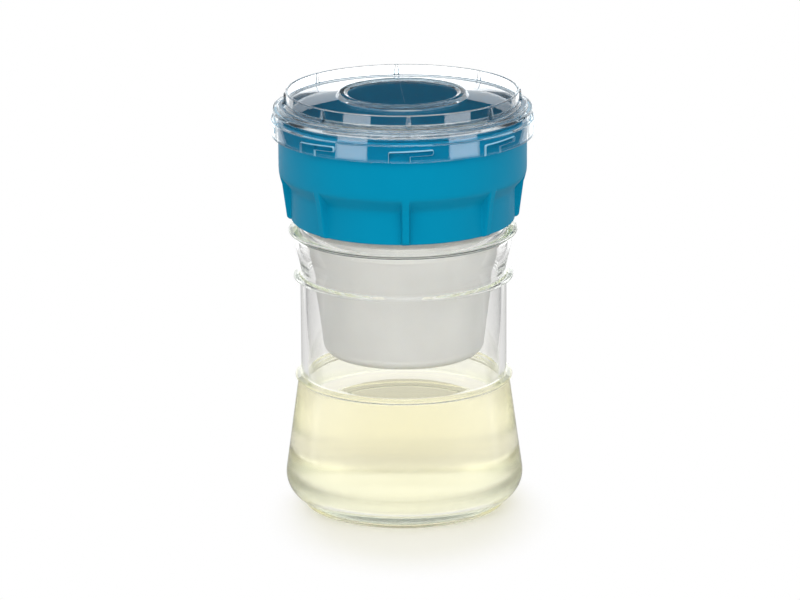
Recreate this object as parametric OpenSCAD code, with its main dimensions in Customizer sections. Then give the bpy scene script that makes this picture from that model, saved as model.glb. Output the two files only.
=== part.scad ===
// Cheese making jar: a waisted glass jar, a ribbed holder that screws onto its neck,
// a fine mesh strainer that hangs in the holder, and a clear lid with a bayonet closure.
// Lengths are in millimetres and angles in degrees.
// The origin is the centre of the foot, +Z is up and the front is -Y.

/* [Glass jar] */
// Height of the jar from foot to mouth
jar_h = 143; // [139:0.5:150]
// How far the foot ring stands inside the belly
foot_inset = 7.8; // [6:0.1:9]
// Height of the foot ring
foot_h = 1.5; // [1:0.1:2.5]
// Width of the flat that the jar stands on
foot_w = 4; // [3:0.5:6]
// Height of the hollow under the floor
punt_h = 1.2; // [0.5:0.1:2]
// How far the belly stands out from the top of the flare
belly_out = 5.9; // [4:0.1:8]
// Height of the belly's widest point
belly_z = 13.1; // [11:0.1:16]
// How far the top of the flare, just under the low bead, stands out from the waist
flare_out = 1.2; // [0.6:0.1:2]
// How far the waist stands out from the neck
waist_out = 0.4; // [0.2:0.1:1.2]
// How far the shoulder, just under the neck bead, stands out from the neck
shoulder_out = 2.8; // [2:0.1:4]
// Outer radius of the neck
neck_r = 44.6; // [43.5:0.1:46]
// Thickness of the body's glass
glass_wall = 2.8; // [2:0.1:3.4]
// Thickness of the neck's glass
neck_wall = 3; // [2.4:0.1:3.4]
// Glass added to the floor over the thickness of the wall
floor_extra = 2.6; // [1:0.1:4]
// Rounding of the mouth's edges
lip_r = 0.9; // [0.4:0.1:1.2]

/* [Beads on the glass] */
// Distance from the low bead up to the middle bead
waist_h = 45.3; // [40:0.1:50]
// Distance from the middle bead up to the neck bead
shoulder_h = 20.4; // [18:0.1:24]
// How far the low bead stands out from the flare
low_bead_proud = 1.4; // [0.9:0.1:2]
// How far the middle bead stands out from the waist
mid_bead_proud = 3; // [2:0.1:4]
// How far the neck bead stands out from the shoulder
neck_bead_proud = 2.5; // [1.5:0.1:3]
// Rounding of the neck bead's crest
neck_bead_r = 0.8; // [0.6:0.1:1]
// Half the height of the neck bead at its root
neck_bead_half_h = 1.9; // [1.5:0.1:2.5]
// Rounding of the crest of the two lower beads
bead_r = 0.6; // [0.4:0.1:0.8]
// Half the height of the two lower beads at their root
bead_half_h = 1.3; // [1:0.1:2]
// Turn of a bead's crest on each side of its middle
bead_turn = 55; // [45:1:60]

/* [Screw closure of the neck] */
// Number of thread starts round the neck
thread_starts = 4; // [3:1:5]
// Rise of the holder in a full turn
thread_lead = 12; // [9:0.5:14]
// Length of each glass thread, as an angle
thread_span = 56; // [45:1:60]
// Depth of the glass thread
thread_depth = 1.3; // [1:0.1:1.8]
// Height of the glass thread at its crest
thread_crest_h = 1.5; // [1.2:0.1:2]
// Height of the glass thread at its root
thread_root_h = 2.3; // [2:0.1:2.8]
// Distance of the threads below the mouth
thread_drop = 6; // [5.5:0.1:7]
// Length of each lug in the holder, as an angle
lug_span = 16; // [10:1:18]
// Height of each lug in the holder
lug_h = 1.8; // [1.2:0.1:2]
// Angle from the middle of a glass thread back to the lug under it
lug_back = 18; // [15:1:20]

/* [Holder] */
// Depth of the socket that goes over the neck
socket_depth = 16.8; // [15.6:0.1:17.4]
// Wall of the socket at its panels
socket_wall = 2.3; // [1.8:0.1:3]
// How far the grip ribs stand out from the panels at the bottom
rib_proud = 2; // [1:0.1:2.6]
// Rounding of a grip rib's foot
rib_end_r = 1.9; // [0.6:0.1:2]
// Width of a grip rib
rib_w = 3.5; // [2.5:0.1:5]
// Number of grip ribs and panels
panel_count = 8; // [6:1:12]
// Angle of the front rib from the front
rib_turn = 1.2; // [-5:0.1:5]
// Height of the panels below the start of their top slope
panel_h = 14.7; // [12:0.1:16]
// Rise of the panel's top slope for each millimetre outwards
panel_slope = 1.15; // [0.8:0.05:2]
// How far the upper band stands out from the panels
band_proud = 5.3; // [4.5:0.1:7]
// Wall of the upper band
band_wall = 2.4; // [2:0.1:3]
// Radius of the curve under the band
band_curve_r = 24; // [20:1:28]
// Angle through which that curve turns
band_curve_a = 20; // [16:1:22]
// Thickness of the web that the strainer hangs on
web_t = 3; // [2:0.1:4]
// Height of the chamber above the web
chamber_h = 26.3; // [24:0.1:32]
// Rounding of the holder's rim
holder_edge = 0.6; // [0.3:0.1:0.8]

/* [Strainer] */
// Thickness of the strainer's rim
rim_t = 1.8; // [1.2:0.1:2.5]
// Wall of the frame
frame_t = 1.4; // [1:0.1:2]
// Thickness of the mesh
mesh_t = 0.6; // [0.4:0.1:0.8]
// Height of the solid collar under the rim
collar_drop = 30; // [27:0.5:34]
// Depth of the strainer under its rim
strainer_depth = 80; // [70:0.5:85]
// Taper of the strainer's wall on each side
taper = 7.4; // [4:0.1:8]
// Radius of the rounding at the floor
floor_corner_r = 5.5; // [4:0.1:7]
// Number of ribs and mesh windows
window_count = 8; // [6:1:12]
// Width of a rib of the frame
frame_rib_w = 2.4; // [1.8:0.1:3.5]
// Width of the flat ring round the floor
floor_ring_w = 4; // [3:0.1:6]

/* [Seals] */
// Thickness of the seal on the jar's mouth
jar_seal_t = 1.5; // [1:0.1:2]
// Thickness of the seal under the lid
lid_seal_t = 1.2; // [0.8:0.1:1.5]

/* [Lid] */
// Depth of the lid's skirt
skirt_depth = 10; // [9.6:0.1:12]
// Wall of the skirt
skirt_wall = 2.7; // [2.4:0.1:3.2]
// Thickness of the deck
deck_t = 2; // [1.5:0.1:2.4]
// Height of the deck at the collar, above the lid's seat
deck_h = 4.2; // [3.8:0.1:5]
// Rise of the deck from the collar to the boss
deck_rise = 2.5; // [1:0.1:3.5]
// How far the collar stands inside the band
collar_inset = 3.3; // [3:0.1:5]
// Wall of the collar
collar_wall = 1.2; // [0.9:0.1:1.8]
// Height of the collar above the deck
collar_h = 5; // [4:0.1:7]
// Outer radius of the boss in the middle
boss_r = 28.7; // [22:0.1:32]
// Width of the raised ring round the boss
boss_ring_w = 4.1; // [3:0.1:5]
// Height of the boss above the deck beside it
boss_h = 1.6; // [1.2:0.1:2.5]
// Depth of the disc inside the raised ring
boss_sink = 0.7; // [0.3:0.1:1]
// Slope of the raised ring's sides from upright
boss_draft = 30; // [10:1:40]
// How far the flange stands inside the skirt
flange_inset = 0.8; // [0.6:0.1:0.9]
// Height of the groove between the flange and the skirt
groove_h = 2.9; // [2:0.1:3.3]
// Number of gussets round the collar
gusset_count = 8; // [6:1:12]
// Radius of a gusset at its foot
gusset_r = 1.5; // [0.8:0.1:1.7]
// Angle of the front gusset from the front
gusset_turn = 2.8; // [-5:0.1:5]

/* [Bayonet of the lid] */
// Number of studs and slots
stud_count = 8; // [4:1:8]
// Angle of the front stud from the front
stud_turn = -1.5; // [-5:0.1:5]
// Width of a stud
stud_w = 7.8; // [6:0.1:9]
// Height of a stud
stud_h = 0.9; // [0.8:0.1:1.3]
// How far a stud stands out
stud_proud = 1.1; // [0.8:0.1:1.3]
// Distance from the holder's rim to the top of a stud
stud_drop = 4.2; // [4:0.1:5]
// Travel of a stud along its slot
slot_travel = 10.4; // [8:0.1:11]
// Rise of the slot from its mouth to its end
slot_ramp = 0.8; // [0.4:0.1:0.9]
// Rounding of the slot's corners
slot_corner_r = 0.6; // [0.3:0.1:0.8]

/* [Clearances] */
// Gap between pieces that are stacked
seat_gap = 0.2; // [0.1:0.05:0.3]
// Gap between the holder's foot and the neck bead
foot_gap = 2.8; // [1.5:0.1:4]
// Gap between the thread and the lugs, and between each and the wall that it passes
thread_gap = 0.4; // [0.3:0.05:0.6]
// Gap between the strainer and the narrowest part of the inside of the jar
strainer_gap = 0.6; // [0.4:0.05:1]
// Gap between the strainer's rim and the holder
rim_gap = 0.5; // [0.3:0.05:0.8]
// Gap between the lid's skirt and the holder's band
skirt_gap = 0.4; // [0.3:0.05:0.6]
// Gap between a stud and the floor and ceiling of its slot
stud_gap = 0.25; // [0.2:0.05:0.4]
// Gap beside a stud at the mouth and at the end of its slot
stud_side_gap = 0.6; // [0.5:0.1:1.2]
// Skin left outside a slot, less the gap over the stud
slot_skin = 1.2; // [0.8:0.1:1.4]

/* [Hidden] */
$fn = 96;

// How far a shape that is joined to another reaches into it, and how far a cut passes its face
bite = 0.6;

// Points of an arc, both ends included
function arc(centre, r, a0, a1, steps) =
    [for (i = [0 : steps])
        let (a = a0 + (a1 - a0) * i / steps)
        [centre[0] + r * cos(a), centre[1] + r * sin(a)]];

// Points of a soft step from one radius and height to another
function ease(r0, z0, r1, z1, steps) =
    [for (i = [0 : steps])
        let (t = i / steps, s = (1 - cos(180 * t)) / 2)
        [r0 + (r1 - r0) * s, z0 + (z1 - z0) * t]];

// Angle at which a line from a point above touches the right side of a circle
function touch(p, centre, r) =
    let (d = p - centre)
    atan2(d[1], d[0]) - acos(r / norm(d));

// Outline of one bead between the walls below and above it
function bead(z, r_below, r_above, crest, half_h, crest_r) =
    concat([[r_below, z - half_h]],
           arc([crest - crest_r, z], crest_r, -bead_turn, bead_turn, 8),
           [[r_above, z + half_h]]);

// The seal on the jar's mouth and the foot of the holder above it
jar_seal_z = jar_h + seat_gap;
web_z = jar_seal_z + jar_seal_t + seat_gap;
holder_z = web_z - socket_depth;

// The glass jar, with its neck bead just under the holder
waist_r = neck_r + waist_out;
shoulder_r = neck_r + shoulder_out;
flare_top_r = waist_r + flare_out;
belly_r = flare_top_r + belly_out;
foot_r = belly_r - foot_inset;
neck_bead_z = holder_z - foot_gap - neck_bead_half_h;
mid_bead_z = neck_bead_z - shoulder_h;
low_bead_z = mid_bead_z - waist_h;
foot_edge = foot_h / 2;
heel_r = belly_z - foot_h;
heel_c = [belly_r - heel_r, belly_z];
heel_start = -acos((foot_r - heel_c[0]) / heel_r);
flare_top_z = low_bead_z - bead_half_h;
heel_end = touch([flare_top_r, flare_top_z], heel_c, heel_r);
inner_heel_r = heel_r - glass_wall;
inner_flare_r = flare_top_r - glass_wall;
inner_heel_c = heel_c + [0, floor_extra];
inner_heel_end = touch([inner_flare_r, flare_top_z], inner_heel_c, inner_heel_r);
floor_z = inner_heel_c[1] - inner_heel_r;
neck_bore_r = neck_r - neck_wall;
shoulder_z = neck_bead_z - neck_bead_half_h;
shoulder_top_z = shoulder_z - bead_half_h;
shoulder_foot_z = mid_bead_z + bead_half_h;
inner_waist_r = waist_r - glass_wall;
inner_shoulder_r = shoulder_r - glass_wall;
foot_flat_r = foot_r - foot_edge;
foot_inner_r = foot_flat_r - foot_w;

jar_outside = concat(
    [[0, punt_h], [foot_inner_r - punt_h, punt_h], [foot_inner_r, 0]],
    arc([foot_flat_r, foot_edge], foot_edge, -90, 0, 5),
    arc(heel_c, heel_r, heel_start, heel_end, 20),
    bead(low_bead_z, flare_top_r, waist_r, flare_top_r + low_bead_proud, bead_half_h, bead_r),
    bead(mid_bead_z, waist_r, waist_r, waist_r + mid_bead_proud, bead_half_h, bead_r),
    ease(waist_r, shoulder_foot_z + bead_half_h, shoulder_r, shoulder_top_z, 8),
    bead(neck_bead_z, shoulder_r, neck_r, shoulder_r + neck_bead_proud, neck_bead_half_h, neck_bead_r),
    arc([neck_r - lip_r, jar_h - lip_r], lip_r, 0, 90, 5));
jar_inside = concat(
    arc([neck_bore_r + lip_r, jar_h - lip_r], lip_r, 90, 180, 5),
    ease(neck_bore_r, neck_bead_z + neck_bead_half_h, inner_shoulder_r, shoulder_top_z, 8),
    ease(inner_shoulder_r, shoulder_top_z - bead_half_h, inner_waist_r, shoulder_foot_z, 8),
    ease(inner_waist_r, low_bead_z + bead_half_h, inner_flare_r, flare_top_z, 6),
    arc(inner_heel_c, inner_heel_r, inner_heel_end, -90, 20),
    [[0, floor_z]]);

// The screw closure
thread_z = jar_h - thread_drop;
thread_tilt = atan(thread_lead / (2 * PI * neck_r));
lug_z = thread_z - thread_lead * lug_back / 360 - (thread_root_h + lug_h) / 2 - thread_gap;

// The holder, from its web upwards
web_top_z = web_z + web_t;
rim_z = web_top_z + chamber_h;
socket_r = neck_r + thread_depth + thread_gap;
panel_r = socket_r + socket_wall;
rib_foot_r = panel_r + rib_proud;
band_r = panel_r + band_proud;
chamber_r = band_r - band_wall;
panel_top_z = holder_z + panel_h;
band_curve_z = panel_top_z + band_curve_r * sin(band_curve_a) + band_wall / 2;
strainer_r = min(neck_bore_r, inner_waist_r) - strainer_gap;
web_bore_r = neck_bore_r;
cut_r = band_r + band_proud;

holder_outline = concat(
    [[socket_r, holder_z]],
    arc([rib_foot_r - rib_end_r, holder_z + rib_end_r], rib_end_r, -90, 0, 6),
    arc([band_r - band_curve_r, band_curve_z], band_curve_r, -band_curve_a, 0, 8),
    arc([band_r - holder_edge, rim_z - holder_edge], holder_edge, 0, 90, 4),
    [[chamber_r, rim_z], [chamber_r, web_top_z], [web_bore_r, web_top_z],
     [web_bore_r, web_z], [socket_r, web_z]]);
panel_outline = [
    [panel_r, holder_z - bite],
    [cut_r, holder_z - bite],
    [cut_r, panel_top_z + (cut_r - panel_r) * panel_slope],
    [panel_r, panel_top_z]];

// The strainer, from its rim downwards
rim_seat_z = web_top_z + seat_gap;
rim_r = chamber_r - rim_gap;
wall_top_z = rim_seat_z - collar_drop;
strainer_z = rim_seat_z - strainer_depth;
corner_z = strainer_z + floor_corner_r;
// The corner's centre lies where its arc ends on the tapered wall
corner_c = [strainer_r - (wall_top_z - corner_z - floor_corner_r * sin(-taper)) * tan(taper)
            - floor_corner_r * cos(taper), corner_z];
wall_normal = [cos(taper), -sin(taper)];
wall_foot = corner_c + floor_corner_r * wall_normal;
floor_ring_r = corner_c[0] - floor_ring_w;

collar_outline = [
    [strainer_r - frame_t, wall_top_z],
    [strainer_r, wall_top_z],
    [strainer_r, rim_seat_z],
    [rim_r, rim_seat_z],
    [rim_r, rim_seat_z + rim_t],
    [strainer_r - frame_t, rim_seat_z + rim_t]];
mesh_outline = [
    [strainer_r, wall_top_z],
    [strainer_r - mesh_t, wall_top_z],
    wall_foot - mesh_t * wall_normal,
    wall_foot];
// A rib of the frame lies just inside the mesh's face and is rooted in the collar and the floor ring
wall_down = [-sin(taper), -cos(taper)];
wall_head = [strainer_r, wall_top_z] - bite * wall_down;
wall_root = wall_foot + bite * wall_down;
frame_rib_outline = [
    wall_head - mesh_t / 3 * wall_normal,
    wall_head - frame_t * wall_normal,
    wall_root - frame_t * wall_normal,
    wall_root - mesh_t / 3 * wall_normal];
floor_ring_outline = concat(
    arc(corner_c, floor_corner_r, -taper, -90, 8),
    [[floor_ring_r, strainer_z], [floor_ring_r, strainer_z + frame_t]],
    arc(corner_c, floor_corner_r - frame_t, -90, -taper, 8));

// The lid, from its seat on the seal
lid_seal_z = rim_z + seat_gap;
lid_z = lid_seal_z + lid_seal_t + seat_gap;
skirt_z = lid_z - skirt_depth;
skirt_r = band_r + skirt_gap;
lid_r = skirt_r + skirt_wall;
collar_r = band_r - collar_inset;
collar_bore_r = collar_r - collar_wall;
deck_z = lid_z + deck_h;
deck_top_z = deck_z + deck_rise;
collar_top_z = deck_z + collar_h;
boss_z = deck_top_z + boss_h;
boss_bore_r = boss_r - boss_ring_w;
// Small roundings of the moulding
fine_edge = collar_wall / 3;
soft_edge = fine_edge * 2;
// The flange steps down from the deck to a groove over the skirt
flange_steps = 2;
flange_r = lid_r - flange_inset;
groove_r = flange_r - flange_inset;
flange_z = lid_z + fine_edge * 5 / 4;
flange_drop = (deck_z - fine_edge * 1.5 - flange_z) / flange_steps;
flange_step_w = (flange_r - collar_r - soft_edge) / flange_steps;
ledge_z = flange_z - groove_h;

flange_outline = [for (i = [0 : flange_steps - 1])
    each arc([collar_r + soft_edge + flange_step_w * (i + 1) - fine_edge,
              deck_z - fine_edge * 1.5 - flange_drop * i - fine_edge], fine_edge, 90, 0, 3)];
lid_outline = concat(
    [[0, boss_z - boss_sink]],
    [[boss_bore_r - soft_edge, boss_z - boss_sink]],
    arc([boss_bore_r + soft_edge, boss_z - soft_edge], soft_edge, 180 - boss_draft, 90, 4),
    arc([boss_r - soft_edge * 2, boss_z - soft_edge], soft_edge, 90, boss_draft, 4),
    [[boss_r, deck_top_z]],
    arc([collar_bore_r - soft_edge, deck_z + soft_edge], soft_edge, -90, 0, 4),
    arc([collar_bore_r + fine_edge, collar_top_z - fine_edge], fine_edge, 180, 90, 4),
    arc([collar_r - fine_edge, collar_top_z - fine_edge], fine_edge, 90, 0, 4),
    arc([collar_r + soft_edge, deck_z - fine_edge * 1.5 + soft_edge], soft_edge, 180, 270, 4),
    flange_outline,
    [[flange_r, flange_z], [groove_r, flange_z - fine_edge], [groove_r, ledge_z]],
    arc([lid_r - fine_edge, ledge_z - fine_edge], fine_edge, 90, 0, 3),
    arc([lid_r - soft_edge, skirt_z + soft_edge], soft_edge, 0, -90, 4),
    [[skirt_r + fine_edge, skirt_z], [skirt_r, skirt_z + fine_edge],
     [skirt_r, lid_z], [chamber_r - fine_edge, lid_z],
     [collar_bore_r - fine_edge, deck_z - deck_t],
     [boss_r, deck_top_z - deck_t],
     [boss_bore_r, boss_z - boss_sink - deck_t],
     [0, boss_z - boss_sink - deck_t]]);

// The bayonet: a slot's outline, with x round the skirt from the stud's middle
stud_top_z = rim_z - stud_drop;
stud_z = stud_top_z - stud_h;
stud_r = band_r + stud_proud;
slot_r = lid_r - slot_skin;
travel_w = slot_travel * PI / 180 * stud_r;
mouth_x0 = -stud_w / 2 - stud_side_gap;
mouth_x1 = stud_w / 2 + stud_side_gap;
slot_x1 = stud_w / 2 + travel_w + stud_side_gap / 2;
slot_floor_rise = slot_ramp * (slot_x1 - mouth_x1) / (slot_x1 - mouth_x0);
slot_end_z = stud_z - stud_gap;
slot_ceiling_z = stud_top_z + stud_gap;
slot_outline = concat(
    [[mouth_x0, skirt_z - bite], [mouth_x1, skirt_z - bite],
     [mouth_x1, slot_end_z - slot_floor_rise]],
    arc([slot_x1 - slot_corner_r, slot_end_z + slot_corner_r], slot_corner_r, -90, 0, 4),
    arc([slot_x1 - slot_corner_r, slot_ceiling_z + slot_ramp - slot_corner_r],
        slot_corner_r, 0, 90, 4),
    arc([mouth_x0 + slot_corner_r, slot_ceiling_z - slot_corner_r + slot_ramp / 8],
        slot_corner_r, 90, 180, 4));

// Copies of a shape round the axis, with the first one turned from the front
module ring_of(count, turn = 0) {
    for (i = [0 : count - 1]) rotate(i * 360 / count + turn) children();
}

// A bar bent round the axis at its front, from an outline of radius and height
module front_arc(span) {
    rotate(-90 - span / 2) rotate_extrude(angle = span) children();
}

// The same bar as a short piece of a right-handed thread that climbs about height z
module thread_arc(span, z) {
    translate([0, 0, z]) rotate([0, -thread_tilt, 0]) front_arc(span) children();
}

module glass_jar() {
    color([0.86, 0.94, 0.92, 0.45]) union() {
        rotate_extrude() polygon(concat(jar_outside, jar_inside));
        ring_of(thread_starts) thread_arc(thread_span, thread_z)
            polygon([[neck_r - bite, -thread_root_h / 2],
                     [neck_r + thread_depth, -thread_crest_h / 2],
                     [neck_r + thread_depth, thread_crest_h / 2],
                     [neck_r - bite, thread_root_h / 2]]);
    }
}

module jar_seal() {
    seal_r = socket_r - rim_gap;
    color("whitesmoke") translate([0, 0, jar_seal_z]) rotate_extrude()
        translate([neck_bore_r, 0]) square([seal_r - neck_bore_r, jar_seal_t]);
}

module holder() {
    panel_span = 360 / panel_count - rib_w * 180 / (PI * panel_r);
    lug_r = neck_r + thread_gap;
    color([0.0, 0.56, 0.72]) union() {
        difference() {
            rotate_extrude() polygon(holder_outline);
            ring_of(panel_count, rib_turn + 180 / panel_count) front_arc(panel_span)
                polygon(panel_outline);
        }
        ring_of(thread_starts, -lug_back) thread_arc(lug_span, lug_z)
            translate([lug_r, -lug_h / 2]) square([socket_r - lug_r + bite, lug_h]);
        ring_of(stud_count, stud_turn) front_arc(stud_w * 180 / (PI * stud_r))
            translate([band_r - bite, stud_z]) square([stud_proud + bite, stud_h]);
    }
}

module strainer_frame() {
    rib_span = frame_rib_w * 180 / (PI * strainer_r);
    floor_r = floor_ring_r + bite;
    color([0.93, 0.92, 0.89]) union() {
        rotate_extrude() polygon(collar_outline);
        rotate_extrude() polygon(floor_ring_outline);
        ring_of(window_count) front_arc(rib_span) polygon(frame_rib_outline);
        for (a = [0, 90]) rotate(a)
            translate([-floor_r, -frame_rib_w / 2, strainer_z + mesh_t])
            cube([2 * floor_r, frame_rib_w, frame_t - mesh_t]);
    }
}

module strainer_mesh() {
    rib_span = frame_rib_w * 180 / (PI * strainer_r);
    color([0.98, 0.97, 0.95]) ring_of(window_count, 180 / window_count)
        front_arc(360 / window_count - rib_span) polygon(mesh_outline);
}

module strainer_floor_mesh() {
    color([0.98, 0.97, 0.95]) translate([0, 0, strainer_z])
        cylinder(r = floor_ring_r, h = mesh_t);
}

module lid_seal() {
    color([0.0, 0.45, 0.58]) translate([0, 0, lid_seal_z]) rotate_extrude()
        translate([chamber_r, 0]) square([band_wall - holder_edge, lid_seal_t]);
}

module lid() {
    color([0.9, 0.96, 0.98, 0.4]) difference() {
        union() {
            rotate_extrude() polygon(lid_outline);
            ring_of(gusset_count, gusset_turn) translate([0, -collar_r, deck_z - fine_edge * 2])
                cylinder(r1 = gusset_r, r2 = fine_edge, h = collar_h);
        }
        ring_of(stud_count, stud_turn) intersection() {
            cylinder(r = slot_r, h = lid_z);
            rotate([90, 0, 0]) linear_extrude(lid_r) polygon(slot_outline);
        }
    }
}

glass_jar();
jar_seal();
holder();
strainer_frame();
strainer_mesh();
strainer_floor_mesh();
lid_seal();
lid();
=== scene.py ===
# Cheese making jar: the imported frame, dressed and lit. Sizes of the pieces are in millimetres, those
# of the finishes and the studio in metres, and angles in degrees from the front (-Y) towards +X.
from math import acos, asin, atan2, ceil, cos, degrees, exp, hypot, log, pi, radians, sin, sqrt

import bpy
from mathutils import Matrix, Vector


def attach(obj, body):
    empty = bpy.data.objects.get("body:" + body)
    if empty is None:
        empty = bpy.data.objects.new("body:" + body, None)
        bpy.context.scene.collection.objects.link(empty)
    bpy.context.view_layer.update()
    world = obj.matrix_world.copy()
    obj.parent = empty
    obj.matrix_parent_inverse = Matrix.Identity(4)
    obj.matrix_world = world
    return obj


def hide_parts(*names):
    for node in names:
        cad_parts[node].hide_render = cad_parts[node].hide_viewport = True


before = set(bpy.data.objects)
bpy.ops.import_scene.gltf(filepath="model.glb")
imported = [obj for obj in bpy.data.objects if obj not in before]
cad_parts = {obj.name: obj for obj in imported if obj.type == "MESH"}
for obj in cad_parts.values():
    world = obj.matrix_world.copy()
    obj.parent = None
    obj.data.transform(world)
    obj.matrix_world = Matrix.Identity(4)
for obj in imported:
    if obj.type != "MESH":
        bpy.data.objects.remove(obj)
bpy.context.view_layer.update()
bpy.context.scene.view_settings.view_transform = "Standard"


# The glass jar: a waisted jar of clear pressed glass with a thick floor, three beads round
# it and four short threads on its neck. It is one pressing, so it is spun as one closed skin
# and the threads are raised on the neck.
def arc(centre, radius, start, end, steps):
    """Points of an arc, both ends included."""
    turns = [radians(start + (end - start) * i / steps) for i in range(steps + 1)]
    return [(centre[0] + radius * cos(t), centre[1] + radius * sin(t)) for t in turns]


def ease(low, high, steps):
    """Points of a soft step from one radius and height to another."""
    shares = [i / steps for i in range(steps + 1)]
    wide, tall = high[0] - low[0], high[1] - low[1]
    return [(low[0] + wide * (1 - cos(pi * s)) / 2, low[1] + tall * s) for s in shares]


def bead(height, below, above, crest, half, rounding):
    """Outline of one pressed bead between the walls under and over it."""
    turn = 55
    top = arc((crest - rounding, height), rounding, -turn, turn, 8)
    return [(below, height - half)] + top + [(above, height + half)]


def touch(point, centre, radius):
    """Angle at which a line from a point above touches the outer side of a circle."""
    across, up = point[0] - centre[0], point[1] - centre[1]
    return degrees(atan2(up, across) - acos(radius / hypot(across, up)))


def soften(outline, gap, passes):
    """The outline with its corners melted: evenly spaced points, averaged with their neighbours."""
    even = [outline[0]]
    for (r0, z0), (r1, z1) in zip(outline, outline[1:]):
        count = max(1, ceil(hypot(r1 - r0, z1 - z0) / gap))
        even += [(r0 + (r1 - r0) * i / count, z0 + (z1 - z0) * i / count)
                 for i in range(1, count + 1)]
    for _ in range(passes):
        inner = [((a[0] + 2 * b[0] + c[0]) / 4, (a[1] + 2 * b[1] + c[1]) / 4)
                 for a, b, c in zip(even, even[1:], even[2:])]
        even = [even[0]] + inner + [even[-1]]
    return even


def thin_out(outline, tolerance):
    """The outline without the points that lie on its straight runs, up to the longest run."""
    longest = 14
    (r0, z0), (r1, z1) = outline[0], outline[-1]
    run = hypot(r1 - r0, z1 - z0) or 1
    off = [abs((r1 - r0) * (z - z0) - (z1 - z0) * (r - r0)) / run for r, z in outline[1:-1]]
    bend = max(off, default=0)
    if not off or (bend < tolerance and run < longest):
        return [outline[0], outline[-1]]
    middle = len(outline) // 2 if bend < tolerance else off.index(bend) + 1
    return thin_out(outline[: middle + 1], tolerance)[:-1] + thin_out(outline[middle:], tolerance)


def brace(outline, reach):
    """The outline with a point just inside both ends of each long run, so that it shades flat."""
    braced = [outline[0]]
    for (r0, z0), (r1, z1) in zip(outline, outline[1:]):
        run = hypot(r1 - r0, z1 - z0)
        if run > 4 * reach:
            ends = (reach / run, 1 - reach / run)
            braced += [(r0 + (r1 - r0) * s, z0 + (z1 - z0) * s) for s in ends]
        braced.append((r1, z1))
    return braced


def add_piece(name, points, faces):
    """An object in the scene, from points in metres and the faces between them."""
    mesh = bpy.data.meshes.new(name)
    mesh.from_pydata(points, [], faces)
    mesh.update()
    piece = bpy.data.objects.new(name, mesh)
    bpy.context.scene.collection.objects.link(piece)
    return piece


def spin(name, outline, columns, shape=None, ring=False):
    """A closed skin spun from an outline that runs out along the bottom and up the outside, and
    back to its start on a ring. shape may move each point, given its angle, radius and height."""
    on_axis, sharp_angle = 1e-6, 40
    points, rows = [], []
    for r, z in outline:
        if r < on_axis:
            rows.append([len(points)] * len(columns))
            points.append((0, 0, z / 1000))
            continue
        rows.append([len(points) + j for j in range(len(columns))])
        for a in columns:
            rr, zz = shape(a, r, z) if shape else (r, z)
            points.append((rr * sin(radians(a)) / 1000, -rr * cos(radians(a)) / 1000, zz / 1000))
    faces = []
    for low, high in zip(rows, rows[1:] + rows[:1] if ring else rows[1:]):
        for j in range(len(columns)):
            k = (j + 1) % len(columns)
            corners = [low[j], low[k], high[k], high[j]]
            faces.append([c for n, c in enumerate(corners) if c not in corners[:n]])
    piece = add_piece(name, points, faces)
    piece.data.shade_smooth()
    piece.data.set_sharp_from_angle(angle=radians(sharp_angle))
    return piece


def smooth(low, high, value):
    """0 under low, 1 over high and a soft rise between them."""
    share = min(1, max(0, (value - low) / (high - low)))
    return share * share * (3 - 2 * share)


def nearest(angle, pitch):
    """The angle from the nearest of the places that lie a pitch apart."""
    return (angle + pitch / 2) % pitch - pitch / 2


class Wire:
    """A shader socket. Sums on it add Math nodes, and node() adds any other node."""

    def __init__(self, tree, socket=None):
        self.tree, self.socket = tree, socket

    def node(self, kind, settings, inputs, outlet=0):
        """Adds a node with its settings and the values or wires of its sockets."""
        made = self.tree.nodes.new(kind)
        for key, value in settings.items():
            setattr(made, key, value)
        for key, value in inputs.items():
            if isinstance(value, Wire):
                self.tree.links.new(value.socket, made.inputs[key])
            else:
                made.inputs[key].default_value = value
        return None if outlet is None else Wire(self.tree, made.outputs[outlet])

    def sum(self, operation, *terms):
        """Adds a Math node on terms that are wires or numbers."""
        return self.node("ShaderNodeMath", {"operation": operation}, dict(enumerate(terms)))

    def __add__(self, other):
        return self.sum("ADD", self, other)

    def __sub__(self, other):
        return self.sum("SUBTRACT", self, other)

    def __rsub__(self, other):
        return self.sum("SUBTRACT", other, self)

    def __mul__(self, other):
        return self.sum("MULTIPLY", self, other)

    __radd__, __rmul__ = __add__, __mul__

    def step(self, low, high):
        """0 where this is under low, 1 over high and a soft rise between them."""
        soft = {"interpolation_type": "SMOOTHSTEP"}
        return self.node("ShaderNodeMapRange", soft, {0: self, 1: low, 2: high})

    def blend(self, first, second):
        """First colour where this is 0, second colour where it is 1."""
        return self.node("ShaderNodeMix", {"data_type": "RGBA"}, {0: self, 6: first, 7: second}, 2)

    def spot(self):
        """The place on the object, in metres."""
        return self.node("ShaderNodeTexCoord", {}, {}, "Object")

    def part(self, axis):
        """One axis of a place or a direction."""
        return self.node("ShaderNodeSeparateXYZ", {}, {0: self}, axis)

    def cloud(self, scale, detail=3.0):
        """Soft random grey, with patches of about 1 / scale metres."""
        looks = {"Vector": self.spot(), "Scale": scale, "Detail": detail}
        return self.node("ShaderNodeTexNoise", {}, looks)

    def bump(self, height, strength, distance):
        """A normal that leans with a height."""
        looks = {"Height": height, "Strength": strength, "Distance": distance}
        return self.node("ShaderNodeBump", {}, looks)


def new_finish(name):
    """An empty material and the wire to build it with."""
    material = bpy.data.materials.new(name)
    material.use_nodes = True
    material.node_tree.nodes.clear()
    return material, Wire(material.node_tree)


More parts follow.
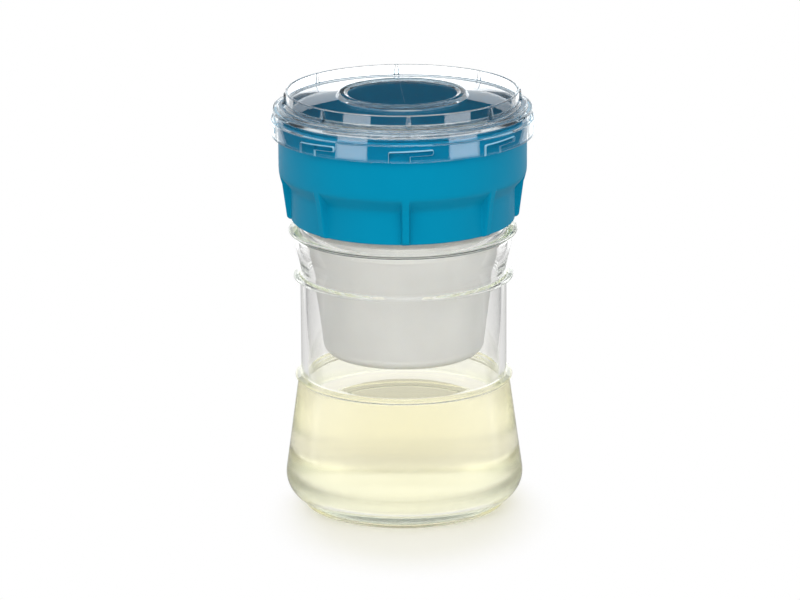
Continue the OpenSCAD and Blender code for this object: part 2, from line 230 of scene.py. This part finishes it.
def clear_finish(name, shadow, ior, absorbs, density, wave=0.0, cloudy=0.0):
    """A clear finish with a slightly wavy skin, which lets the lamps through to what is behind it.
    Where it is cloudy, only its level top shows a sharp picture, under a thin film."""
    material, wire = new_finish(name)
    gloss = wire.cloud(30.0).step(0.35, 0.75) * 0.02
    looks = {"Base Color": (1, 1, 1, 1), "IOR": ior, "Transmission Weight": 1.0}
    if cloudy:
        level = wire.node("ShaderNodeTexCoord", {}, {}, "Normal").part("Z").step(0.5, 0.9)
        gloss = gloss + (1 - level) * cloudy
        looks |= {"Coat Weight": level, "Coat IOR": 1.5}
    if wave:
        looks["Normal"] = wire.bump(wire.cloud(70.0), wave, 0.0006)
    body = wire.node("ShaderNodeBsdfPrincipled", {}, looks | {"Roughness": gloss})
    lets = wire.node("ShaderNodeBsdfTransparent", {}, {"Color": shadow})
    is_shadow = wire.node("ShaderNodeLightPath", {}, {}, "Is Shadow Ray")
    both = wire.node("ShaderNodeMixShader", {}, {0: is_shadow, 1: body, 2: lets})
    inside = wire.node("ShaderNodeVolumeAbsorption", {}, {"Color": absorbs, "Density": density})
    wire.node("ShaderNodeOutputMaterial", {}, {"Surface": both, "Volume": inside}, None)
    return material


foot_rise, foot_edge, foot_reach = 1.2, 0.75, 3.8
heel, heel_r = (40.5, 13.1), 11.6
inner_heel, inner_heel_r, glass_floor = (40.5, 15.7), 8.8, 6.9
flare_top, inner_flare_top = (46.2, 56.4), (43.4, 56.4)
waist_r, shoulder_r, neck_r = 45, 47.4, 44.6
inner_waist_r, inner_shoulder_r, mouth_r = 42.2, 44.6, 41.6
shoulder_z, neck_z, neck_top, lip_z, lip_edge = 120.2, 130, 141.6, 142.1, 0.9
jar_outside = (
    [(0, foot_rise), (38.35, foot_rise), (39.55, 0)]
    + arc((43.55, foot_edge), foot_edge, -90, 0, 5)
    + arc(heel, heel_r, -degrees(acos(foot_reach / heel_r)), touch(flare_top, heel, heel_r), 24)
    + bead(57.7, flare_top[0], waist_r, 47.6, 1.3, 0.6)
    + bead(103, waist_r, waist_r, 48, 1.3, 0.6)
    + ease((waist_r, 105.6), (shoulder_r, shoulder_z), 12)
    + bead(123.4, shoulder_r, neck_r, 49.9, 1.9, 0.8)
    + [(neck_r, neck_z)])
neck = [(neck_r, neck_z + 0.4 + 0.4 * i) for i in range(28)]
lip = [(neck_r, neck_top)] + arc((neck_r - lip_edge, lip_z), lip_edge, 0, 90, 6)
jar_inside = (
    arc((mouth_r + lip_edge, lip_z), lip_edge, 90, 180, 5)
    + ease((mouth_r, 125.3), (inner_shoulder_r, shoulder_z), 10)
    + ease((inner_shoulder_r, 118.9), (inner_waist_r, 104.3), 10)
    + ease((inner_waist_r, 59.0), inner_flare_top, 8)
    + arc(inner_heel, inner_heel_r, touch(inner_flare_top, inner_heel, inner_heel_r), -90, 24)
    + [(0, glass_floor)])
melt_gap, glass_tolerance, brace_reach = 0.2, 0.006, 0.12
below_neck = thin_out(soften(jar_outside, melt_gap, 4), glass_tolerance)
mouth = thin_out(soften(lip + jar_inside, melt_gap, 8), glass_tolerance)
jar_outline = brace(below_neck + neck + mouth, brace_reach)
thread_pitch, thread_apart, thread_rise, thread_z = 12, 90, 1.3, 137


def raise_threads(angle, r, z):
    """Raises the four threads, which climb with their pitch and fade out at their ends."""
    if abs(r - neck_r) > 1e-6 or not neck_z < z < neck_top - 0.1:
        return r, z
    along = nearest(angle, thread_apart)
    off = abs(z - thread_z - thread_pitch * along / 360)
    return r + thread_rise * (1 - smooth(0.7, 1.2, off)) * (1 - smooth(24, 28, abs(along))), z


column_count = 176
round_columns = [i * 360 / column_count for i in range(column_count)]
jar = spin("glass_jar_pressing", jar_outline, round_columns, raise_threads)
jar.data.materials.append(clear_finish(
    "pressed_glass", shadow=(0.985, 0.99, 0.985, 1), ior=1.5,
    absorbs=(0.84, 0.93, 0.84, 1), density=10.0, wave=0.04))
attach(jar, "jar")
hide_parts("glass_jar")

# The whey: pale yellow, slightly cloudy liquid that has drained into the jar. It wets the
# glass, so its skin lies a hair's breadth within the glass and climbs a little at the wall.
whey_level, wetting, wet_top = 57.0, 0.12, 50
wet = [(r + wetting if r else r, z - wetting) for r, z in jar_inside[::-1] if z < wet_top]
whey_climb = [(43.5, 0.9), (43.0, 0.75), (42.2, 0.3), (41.0, 0.08), (39, 0), (0, 0)]
whey_top = [(r, whey_level + rise) for r, rise in whey_climb]
whey_outline = thin_out(soften(wet + whey_top, 0.3, 4), 0.004)
whey = spin("whey", brace(whey_outline, brace_reach), round_columns)
whey.data.materials.append(clear_finish(
    "whey", shadow=(0.97, 0.93, 0.74, 1), ior=1.34,
    absorbs=(0.98, 0.91, 0.41, 1), density=7.0, cloudy=0.19))
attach(whey, "jar")


# The ring on the jar's mouth: a flat gasket of translucent white silicone, squeezed between
# the glass and the holder. It is cut from sheet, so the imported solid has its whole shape.
def solid_finish(wire, looks):
    """Ends a finish with one skin of these looks."""
    skin = wire.node("ShaderNodeBsdfPrincipled", {}, looks)
    wire.node("ShaderNodeOutputMaterial", {}, {"Surface": skin}, None)


def dress(node, finish):
    """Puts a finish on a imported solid."""
    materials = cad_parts[node].data.materials
    materials.clear()
    materials.append(finish)


silicone, wire = new_finish("silicone")
patch = wire.cloud(400.0)
solid_finish(wire, {
    "Base Color": patch.blend((0.80, 0.80, 0.78, 1), (0.88, 0.88, 0.86, 1)),
    "Roughness": patch * 0.15 + 0.45, "Subsurface Weight": 0.2,
    "Normal": wire.bump(wire.cloud(2500.0), 0.1, 0.0002)})
dress("jar_seal", silicone)

# The holder: a satin blue moulding with a screw socket, eight grip ribs with soft panels
# between them, a web that the strainer hangs on, and eight bayonet studs round its band.
# It is one moulding, so its panels, studs and lugs are all worked into one spun skin.
eighth = 45
rib_turn, stud_turn, lug_turn, lug_z = 1.2, -1.5, -18, 133.95
rib_foot_r, rib_foot_z, rib_top_r, rib_top_z = 50.6, 130.0, 52.45, 144.0
band_r, band_z, swell_r = 53.9, 152.2, 24
panel_r, panel_top, holder_foot = 48.6, 142.8, 128.1
chamber_r, web_top, web_under, socket_r = 51.5, 147.9, 144.9, 46.3


def band_radius(z):
    """Outer radius of the ribs and of the band over them."""
    if z >= band_z:
        return band_r
    if z >= rib_top_z:
        return band_r - swell_r + sqrt(swell_r * swell_r - (band_z - z) ** 2)
    return rib_foot_r + (rib_top_r - rib_foot_r) * (z - rib_foot_z) / (rib_top_z - rib_foot_z)


def panel_radius(z):
    """Outer radius in the middle of a panel, with its top melted into the band."""
    lean, bend, melt, edge = 0.52, 0.6, 0.25, 0.4
    sloped = panel_r + lean * log(1 + exp((z - panel_top) / bend))
    sink = band_radius(z) - sloped + edge * (1 - smooth(holder_foot, holder_foot + edge, z))
    return band_radius(z) - melt * log(1 + exp(sink / melt))


rib_rows = [130.0, 130.8, 132, 134, 136, 138, 139.2]
swell_rows = [140.0 + 0.4 * i for i in range(32)]
band_rows = [153.2, 155, 158, 162, 166, 168]
stud_rows = [168.8, 168.96, 169.04, 169.12, 169.2, 169.4, 169.7, 169.86, 169.94, 170.02, 170.1, 170.3]
rim_rows = [171, 172.5, 173.5]
lug_rows = [135.9 - 0.25 * i for i in range(17)]
socket_rows = [144.2, 141, 137.6, 136.4] + lug_rows + [131.4, 130.2, 128.5]
holder_outline = (
    arc((48.7, rib_foot_z), 1.9, -90, 0, 8)[:-1]
    + [(band_radius(z), z) for z in rib_rows + swell_rows + band_rows + stud_rows + rim_rows]
    + arc((53.3, 173.6), 0.6, 0, 90, 5)
    + arc((51.9, 173.8), 0.4, 90, 180, 4)
    + [(chamber_r, z) for z in (168, 158, 150, 148.6)]
    + arc((50.8, 148.6), 0.7, 0, -90, 4)[1:]
    + [(48, web_top), (44, web_top)]
    + arc((42.0, 147.5), 0.4, 90, 180, 4)
    + arc((42.0, 145.3), 0.4, 180, 270, 4)
    + [(45.8, web_under), (socket_r, 144.4)]
    + [(socket_r, z) for z in socket_rows]
    + [(46.7, holder_foot)])
grip_r, skirt_r = 50, 55
stud_low, stud_high, stud_half, stud_rise = 169.0, 170.06, 4.0, 1.1


def mould_holder(angle, r, z):
    """Sinks the panels between the ribs, and raises the studs and the socket's lugs."""
    in_chamber = r < 52.5 and z > 147.8
    if r > panel_r + 0.05 and not in_chamber:
        deep = max(0, r - panel_radius(z))
        off = abs(radians(nearest(angle - rib_turn, eighth))) * r
        side = smooth(1.25, 2.2 + 0.12 * deep, off)
        along = abs(radians(nearest(angle - stud_turn, eighth))) * skirt_r
        stud = 1 - smooth(stud_half - 0.2, stud_half, along)
        stud *= smooth(stud_low, stud_low + 0.2, z) * (1 - smooth(stud_high - 0.16, stud_high, z))
        return r - deep * side + stud_rise * stud, z
    if r == socket_r:
        along = nearest(angle - lug_turn, thread_apart)
        off = abs(z - lug_z - thread_pitch * along / 360)
        return r - thread_rise * (1 - smooth(0.75, 0.95, off)) * (1 - smooth(7, 8.2, abs(along))), z
    return r, z


def fine_columns(edges):
    """Angles round the axis: every two degrees, and wherever the moulding has an edge."""
    pitch, clear = 2.0, 0.12
    special = sorted({round(edge % 360, 4) for edge in edges})
    even = [i * pitch for i in range(int(360 / pitch))]
    between = [e for e in even if all(abs(nearest(e - s, 360)) > clear for s in special)]
    return sorted(special + between)


rib_offsets = [0, 0.8, 1.15, 1.3, 1.45, 1.6, 1.75, 1.9, 2.05, 2.2, 2.35, 2.5, 2.7, 3.0, 3.6]
stud_offsets = [3.6, 3.75, 3.82, 3.88, 3.94, 4.0, 4.15]
holder_edges = []
for place in range(0, 360, eighth):
    for side in (-1, 1):
        holder_edges += [rib_turn + place + side * degrees(o / grip_r) for o in rib_offsets]
        holder_edges += [stud_turn + place + side * degrees(o / skirt_r) for o in stud_offsets]
holder = spin("holder_moulding", holder_outline, fine_columns(holder_edges), mould_holder, ring=True)

blue, wire = new_finish("satin_blue_plastic")
haze, grain = wire.cloud(45.0), wire.cloud(5200.0, 2.0)
solid_finish(wire, {
    "Base Color": haze.blend((0.0, 0.205, 0.36, 1), (0.0, 0.228, 0.395, 1)),
    "Roughness": haze * 0.06 + grain * 0.06 + 0.40, "IOR": 1.2, "Specular Tint": (0.2, 0.75, 1, 1),
    "Normal": wire.bump(grain, 0.12, 0.00012)})
holder.data.materials.append(blue)
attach(holder, "holder")
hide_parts("holder")

# The strainer: a moulded white frame that hangs by its rim on the holder's web, with fine
# woven mesh moulded into its eight windows and its floor.
white, wire = new_finish("white_plastic")
haze, grain = wire.cloud(60.0), wire.cloud(4000.0)
solid_finish(wire, {
    "Base Color": haze.blend((0.72, 0.695, 0.64, 1), (0.78, 0.755, 0.70, 1)),
    "Roughness": haze * 0.1 + 0.42, "Subsurface Weight": 0.1,
    "Normal": wire.bump(grain, 0.08, 0.0001)})
dress("strainer_frame", white)
woven, wire = new_finish("woven_mesh")
weave_round, weave_up = 540.0, 14000.0
x, y, z = (wire.spot().part(axis) for axis in "XYZ")
round_it = wire.sum("ARCTAN2", x, y) * weave_round
weave = wire.sum("SINE", round_it) * wire.sum("SINE", z * weave_up)
haze = wire.cloud(55.0)
solid_finish(wire, {
    "Base Color": (haze * 0.8 + weave * 0.2).blend((0.66, 0.635, 0.585, 1), (0.83, 0.805, 0.75, 1)),
    "Roughness": 0.7, "Subsurface Weight": 0.1, "Sheen Weight": 0.5,
    "Normal": wire.bump(weave, 0.4, 0.00015)})
dress("strainer_floor_mesh", woven)
wall_low_r, wall_low_z, wall_top_r, wall_top_z = 35.13, 72.9, 41, 118.1
wall_tall = wall_top_z - wall_low_z
mesh_thick, mesh_slack, sleeve_steps = 0.6, 0.45, 40


def wall_radius(z):
    """Outer radius of the tapered wall."""
    return wall_low_r + (wall_top_r - wall_low_r) * (z - wall_low_z) / wall_tall


def slacken(angle, r, z):
    """The mesh is slack between the ribs that it is moulded to."""
    across = (nearest(angle - eighth / 2, eighth) + eighth / 2) / eighth
    slack = sin(pi * across) ** 2 * sin(pi * (z - wall_low_z) / wall_tall)
    return r - mesh_slack * slack, z


sleeve_rows = [wall_low_z + wall_tall * i / sleeve_steps for i in range(sleeve_steps + 1)]
sleeve_outside = [(wall_radius(z), z) for z in sleeve_rows]
sleeve_inside = [(r - mesh_thick, z) for r, z in sleeve_outside[::-1]]
sleeve = spin("strainer_sleeve", sleeve_outside + sleeve_inside, round_columns, slacken, ring=True)
sleeve.data.materials.append(woven)
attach(sleeve, "strainer")
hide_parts("strainer_mesh")

# The ring under the lid: a flat gasket of blue silicone in the holder's colour, which lies on
# the holder's rim. It is cut from sheet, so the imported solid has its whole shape.
blue_silicone, wire = new_finish("blue_silicone")
patch = wire.cloud(400.0)
solid_finish(wire, {
    "Base Color": patch.blend((0.0, 0.15, 0.27, 1), (0.0, 0.19, 0.32, 1)),
    "Roughness": patch * 0.15 + 0.5, "Specular IOR Level": 0.2,
    "Normal": wire.bump(wire.cloud(2500.0), 0.1, 0.0002)})
dress("lid_seal", blue_silicone)

# The lid: a clear moulding with a stepped flange over a groove, a thin upright collar with
# eight gussets, a raised ring round a plain disc, and eight blind bayonet slots inside its skirt.
gusset_turn, gusset_foot, gusset_tall, gusset_thick, gusset_taper = 2.8, 179.2, 5, 1.4, 0.7
lid_top_z, disc_z, boss_z, fillet_r, groove_r = 185, 183.4, 183.3, 0.8, 55.4
collar_r, fillet_end, flange_r, skirt_in, slot_r = 50.6, 51.4, 53.4, 54.3, 55.8
slot_start, mouth_end, slot_end, floor_row, ceiling_row = -4.5, 4.5, 14.2, 168.12, 170.35
slot_climb, slot_corner = 0.7, 0.8
lid_top = (
    [(0, disc_z), (23.8, disc_z)]
    + arc((25.4, boss_z), 0.8, 150, 90, 5)
    + arc((27.1, boss_z), 0.8, 90, 30, 5)
    + [(28.7, 182.5), (38, 181.35)]
    + arc((48.6, 180.8), 0.8, -90, 0, 5)
    + [(49.4, 182.5)]
    + arc((49.8, 184.6), 0.4, 180, 90, 4)
    + arc((50.2, 184.6), 0.4, 90, 0, 4))
collar = [(collar_r, lid_top_z - 0.8 - 0.4 * i) for i in range(11)]
lid_side = (
    arc((fillet_end, 180.2), fillet_r, 180, 270, 6)
    + arc((flange_r, 179.0), 0.4, 90, 0, 4)
    + arc((54.4, 178.45), 0.6, 180, 270, 5)
    + arc((55.8, 177.45), 0.4, 90, 0, 4)
    + [(56.2, 176.3), (groove_r, 175.9), (groove_r, 173.4)]
    + arc((56.6, 173.0), 0.4, 90, 0, 4)
    + [(57.0, 170)]
    + arc((56.2, 166.6), 0.8, 0, -90, 5))
edge_steps = [-0.8, -0.55, -0.35, -0.18, -0.06, 0.06, 0.18, 0.35]
slot_rows = [166.2, 166.7] + [floor_row + e for e in edge_steps] + [168.8, 169.2]
slot_rows += [ceiling_row + e for e in edge_steps]
skirt_inside = [(54.7, 165.8)] + [(skirt_in, z) for z in slot_rows + [172.2, 173.8, 175.4]]
lid_under = arc((53.9, 175.4), 0.4, 0, 90, 4)[1:] + [
    (52.5, 175.8), (51.1, 175.8), (49.0, 178.0), (40, 179.1),
    (28.7, 180.5), (24.6, 181.4), (0, 181.4)]
lid_outline = brace((lid_top + collar + lid_side + skirt_inside + lid_under)[::-1], 0.1)


def climb(x):
    """How far the slot has climbed at a distance x round the skirt."""
    return slot_climb * min(1, max(0, (x - slot_start) / (slot_end - slot_start)))


def depth_inside(x, z, left, right, low, high):
    """How deep a point lies inside a rectangle with the slot's round corners."""
    across = abs(x - (left + right) / 2) - (right - left) / 2 + slot_corner
    up = abs(z - (low + high) / 2) - (high - low) / 2 + slot_corner
    return slot_corner - hypot(max(0, across), max(0, up)) - min(0, max(across, up))


def mould_lid(angle, r, z):
    """Raises the gussets on the collar's foot, and sinks the slots into the skirt."""
    by_collar = 50.55 < r < 53.35 and 179.3 < z < 184.4
    inside_skirt = 54.25 < r < 54.75 and z < 175.6
    if by_collar:
        off = radians(nearest(angle - gusset_turn, eighth)) * collar_r
        thick = gusset_thick - gusset_taper * min(1, max(0, (z - gusset_foot) / gusset_tall))
        face = collar_r + sqrt(max(0, thick * thick - off * off))
        if r < fillet_end + 0.05:
            return max(r, face), z
        return r + max(0, face - fillet_end) * (flange_r - r) / (flange_r - fillet_end), z
    if inside_skirt:
        x = skirt_r * sin(radians(nearest(angle - stud_turn, eighth)))
        z += climb(x) * smooth(166.6, 167.3, z) * (1 - smooth(170.8, 172.1, z))
        level = z - climb(x)
        opening = depth_inside(x, level, slot_start, mouth_end, 160, ceiling_row)
        channel = depth_inside(x, level, slot_start, slot_end, floor_row, ceiling_row)
        return r + (slot_r - r) * smooth(-0.15, 0.15, max(opening, channel)), z
    return r, z


slot_sides = ((slot_start, -1), (mouth_end, 1), (slot_end, 1))
gusset_offsets = [0, 0.3, 0.6, 0.85, 1.05, 1.2, 1.32, 1.42, 1.5, 1.65]
lid_edges = []
for place in range(0, 360, eighth):
    for x, side in slot_sides:
        lid_edges += [stud_turn + place + degrees(asin((x + side * e) / skirt_r)) for e in edge_steps]
    for side in (-1, 1):
        lid_edges += [gusset_turn + place + degrees(o * side / collar_r) for o in gusset_offsets]
lid = spin("lid_moulding", lid_outline, fine_columns(lid_edges), mould_lid)
lid.data.materials.append(clear_finish(
    "clear_plastic", shadow=(0.70, 0.80, 0.88, 1), ior=1.5,
    absorbs=(0.52, 0.66, 0.73, 1), density=50.0))
# The sides of the slots are matt and coloured pale blue: a painted highlight that stands in for the
# bright edges they show in the clear lid
slot_sides_painted_highlight, wire = new_finish("matt_clear_plastic")
grain = wire.cloud(6000.0)
solid_finish(wire, {
    "Base Color": grain.blend((0.30, 0.62, 0.78, 1), (0.42, 0.72, 0.86, 1)),
    "Roughness": grain * 0.2 + 0.4, "Normal": wire.bump(grain, 0.2, 0.0001)})
lid.data.materials.append(slot_sides_painted_highlight)
slots_low, slots_high = 165.9, 172
for face in lid.data.polygons:
    corners = [lid.data.vertices[v].co for v in face.vertices]
    reach = [hypot(c.x, c.y) * 1000 for c in corners]
    in_skirt = skirt_in - 0.1 < min(reach) and max(reach) < slot_r + 0.1
    leans = max(reach) - min(reach) > 0.1
    if in_skirt and leans and slots_low < face.center.z * 1000 < slots_high:
        face.material_index = 1
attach(lid, "lid")
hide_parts("lid")


# The studio: a round white table, grey flags that draw the glass's walls, softboxes behind the jar
# and over the front, and two cards past the table's edge for the lid's skirt. What clear things
# show of the room is white, with dark parts in front, low down and high behind the jar.
def grey(level):
    """A plain grey colour."""
    return (level, level, level, 1)


def ray_masks(wire):
    """Where light is seen straight by the camera, mirrored, or seen through clear things."""
    return [wire.node("ShaderNodeLightPath", {}, {}, ray)
            for ray in ("Is Camera Ray", "Is Glossy Ray", "Is Transmission Ray")]


table_r, table_sides = 0.7, 96
turns = [2 * pi * i / table_sides for i in range(table_sides)]
table_rim = [(table_r * cos(t), table_r * sin(t), 0) for t in turns]
floor = add_piece("table", table_rim, [list(range(table_sides))])
table, wire = new_finish("white_table")
seen, glossy, passed = ray_masks(wire)
long_shade = wire.node("ShaderNodeVectorMath", {"operation": "MULTIPLY_ADD"}, {
    0: wire.spot(), 1: (1.36, 1.0, 1.0), 2: (-0.004, 0.025, 0.0)})
out = wire.node("ShaderNodeVectorMath", {"operation": "LENGTH"}, {0: long_shade}, 1)
open_table = wire.sum("MAXIMUM", seen, glossy) * out.step(0.045, 0.09)
shows = wire.sum("MAXIMUM", open_table, passed)
# Where the table shows its matt side, near the jar, its colour is darker and yellower than white. This
# is painted shade that deepens the real shadow, and a painted yellow glow of light through the whey.
matt = wire.node("ShaderNodeBsdfDiffuse", {}, {"Color": (0.90, 0.89, 0.83, 1)})
bright = passed.blend(glossy.blend(grey(1), grey(0.4)), (0.87, 0.86, 0.85, 1))
glow = wire.node("ShaderNodeEmission", {}, {"Color": bright, "Strength": 1.0})
both = wire.node("ShaderNodeMixShader", {}, {0: shows, 1: matt, 2: glow})
wire.node("ShaderNodeOutputMaterial", {}, {"Surface": both}, None)
floor.data.materials.append(table)

flag_x, flag_deep, flag_low, flag_high = 0.21, 0.3, 0.001, 0.12
flag_edge = [(0.0, flag_low), (flag_deep, flag_low), (flag_deep, flag_high), (0.0, flag_high)]
flag_corners = [(x, y, z) for x in (-flag_x, flag_x) for y, z in flag_edge]
flags = add_piece("side_flags", flag_corners, [(0, 1, 2, 3), (4, 5, 6, 7)])
flags.visible_camera = flags.visible_diffuse = flags.visible_shadow = False
soft_grey, wire = new_finish("grey_flag")
y, z = wire.spot().part("Y"), wire.spot().part("Z")
ends = wire.sum("MAXIMUM", y.step(0.2, flag_deep), 1 - y.step(0.0, 0.06))
fades = wire.sum("MAXIMUM", z.step(0.06, flag_high), ends)
bright = fades.blend(grey(0.26), grey(1))
glow = wire.node("ShaderNodeEmission", {}, {"Color": bright, "Strength": 1.0})
wire.node("ShaderNodeOutputMaterial", {}, {"Surface": glow}, None)
flags.data.materials.append(soft_grey)

world = bpy.data.worlds.new("studio")
world.use_nodes = True
world.node_tree.nodes.clear()
bpy.context.scene.world = world
wire = Wire(world.node_tree)
seen, glossy, passed = ray_masks(wire)
bounced = wire.node("ShaderNodeLightPath", {}, {}, "Glossy Depth").step(0.2, 0.8)
way = wire.node("ShaderNodeTexCoord", {}, {}, "Generated")
side, up = wire.sum("ABSOLUTE", way.part("X")), way.part("Z")
back = way.part("Y").step(-0.95, 0.1)
ceiling = up.step(0.05, 0.2) * (1 - up.step(0.45, 0.6))
low = 1 - up.step(-0.16, -0.08)
aside = side.step(0.35, 0.6) * bounced
card = 1 - (side - up).step(-0.2095, -0.2065)
mirrored = (back * (1 - ceiling * card) * (1 - low)).blend(grey(0.02), grey(1))
dark = wire.sum("MAXIMUM", (1 - back * (1 - aside)) * low, back * ceiling)
through = dark.blend(grey(1), grey(0.05))
around = passed.blend(glossy.blend(grey(0.62), mirrored), through)
room = wire.node("ShaderNodeBackground", {}, {"Color": seen.blend(around, grey(1)), "Strength": 1.0})
wire.node("ShaderNodeOutputWorld", {}, {"Surface": room}, None)


def softbox(name, azimuth, distance, height, size, power, aim):
    """A softbox that faces a height on the jar's axis, at an angle from the front towards +X."""
    lamp = bpy.data.lights.new(name, "AREA")
    lamp.shape, lamp.size, lamp.size_y, lamp.energy = "RECTANGLE", size[0], size[1], power
    box = bpy.data.objects.new(name, lamp)
    box.location = (distance * sin(radians(azimuth)), -distance * cos(radians(azimuth)), height)
    bpy.context.scene.collection.objects.link(box)
    box.rotation_mode = "QUATERNION"
    box.rotation_quaternion = (Vector((0, 0, aim)) - box.location).to_track_quat("-Z", "Y")


card_z, back_z = -0.125, 0.13
for name, azimuth in (("left_card", -45), ("right_card", 55)):
    softbox(name, azimuth, distance=1.2, height=card_z, size=(0.6, 0.15), power=1.0, aim=card_z)
softbox("back_softbox", 180, distance=0.55, height=back_z, size=(1.3, 0.25), power=1.2, aim=back_z)
softbox("front_softbox", 0, distance=0.95, height=0.85, size=(2.4, 0.8), power=13.5, aim=0.05)

# The camera: a long lens in front of the jar and a little above it, which looks down on the
# lid. The clear pieces stand behind each other, so light may pass many faces.
looks_down, roll, most_bounces = 15.554, -0.35, 48
lens = bpy.data.cameras.new("camera")
lens.lens, lens.sensor_width = 198.9, 36
camera = bpy.data.objects.new("camera", lens)
camera.location = (-0.00155, -1.863, 0.6091)
camera.rotation_mode = "ZXY"
camera.rotation_euler = (radians(90 - looks_down), 0, radians(roll))
bpy.context.scene.collection.objects.link(camera)
bpy.context.scene.camera = camera
light_paths = bpy.context.scene.cycles
light_paths.max_bounces = most_bounces
light_paths.transmission_bounces = light_paths.glossy_bounces = most_bounces
